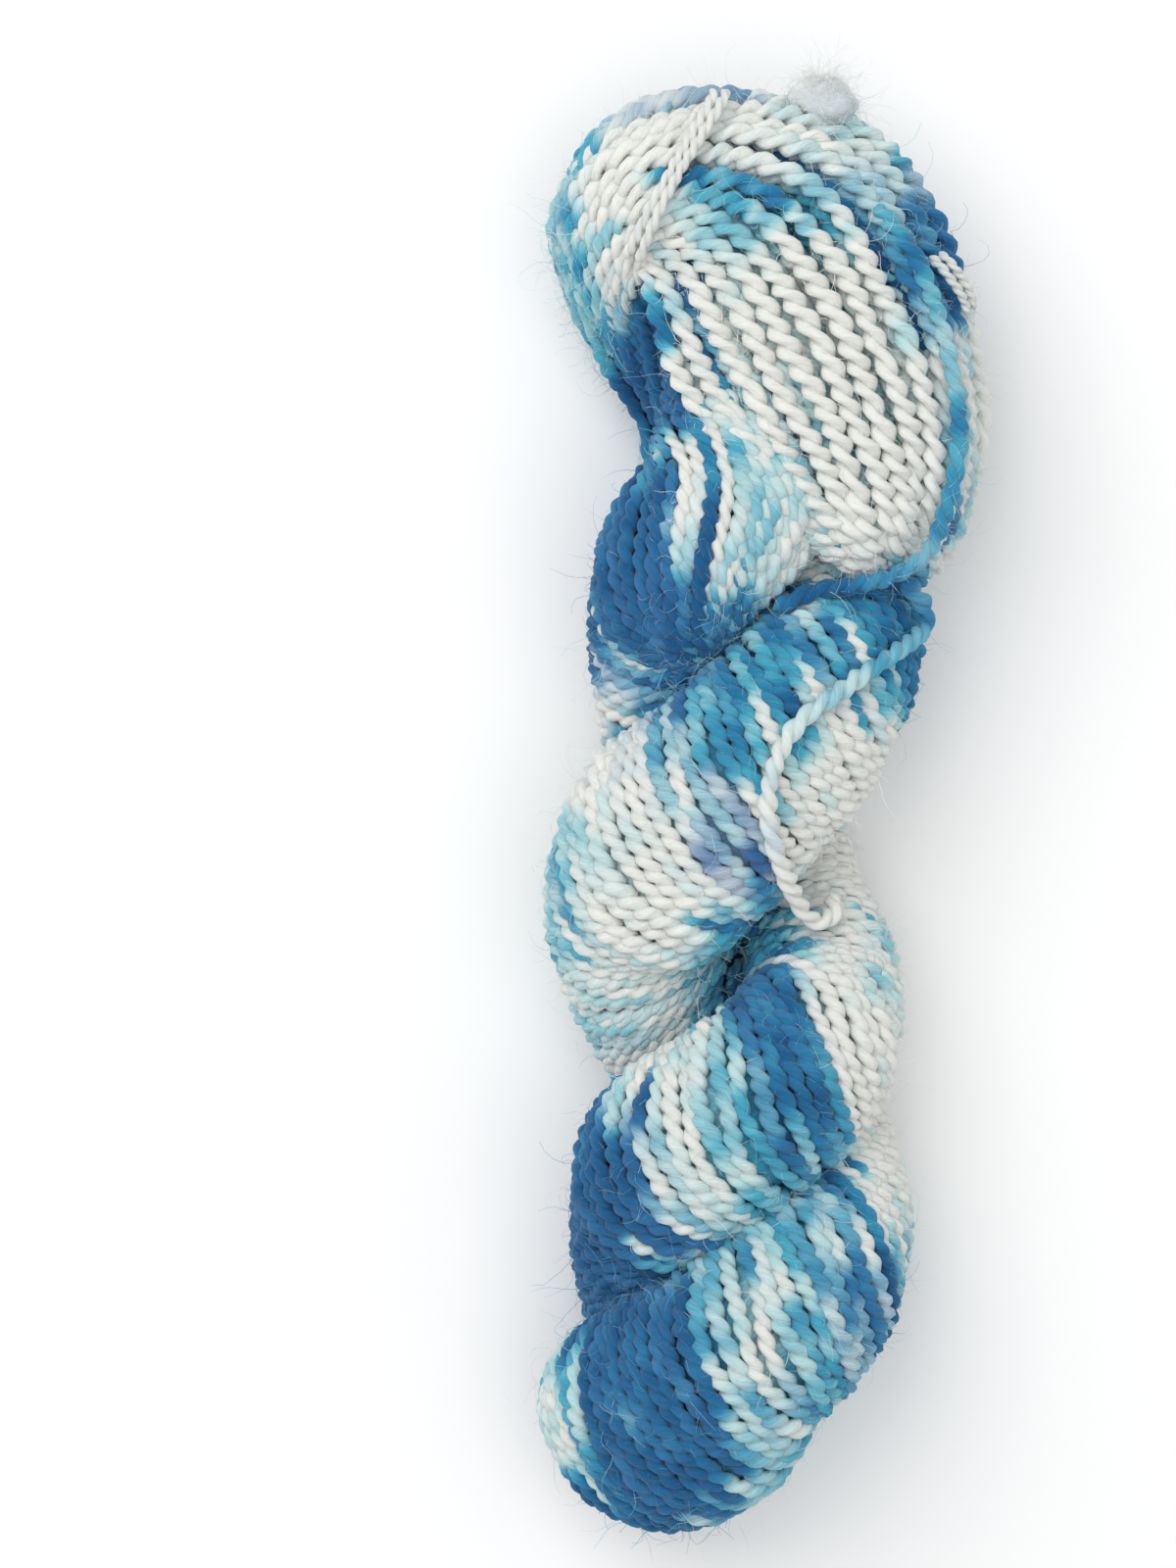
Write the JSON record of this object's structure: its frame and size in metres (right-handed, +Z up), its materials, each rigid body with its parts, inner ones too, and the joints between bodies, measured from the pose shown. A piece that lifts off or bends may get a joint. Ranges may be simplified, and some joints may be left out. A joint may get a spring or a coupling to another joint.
{
  "type": "yarn skein",
  "caption": "Hand-dyed yarn twisted into a skein, with a fanned loop at its head, tie strands and one loose end.",
  "frame": {"origin": "on the surface the skein rests on, under the middle of its box", "axes": "+Y along the skein towards its fanned head, +Z up from the surface, +X across the skein"},
  "size_m": [0.0911, 0.2954, 0.0618],
  "materials": {
    "yarn": "soft plied wool, hand dyed",
    "tie": "undyed plied wool",
    "side_tie": "pale plied wool",
    "knot": "unspun fibre",
    "loose_end": "soft plied wool, hand dyed"
  },
  "bodies": {
    "root": {"hank": "yarn", "tie": "tie", "side_tie": "side_tie", "knot": "knot", "loose_end": "loose_end"}
  },
  "joints": []
}
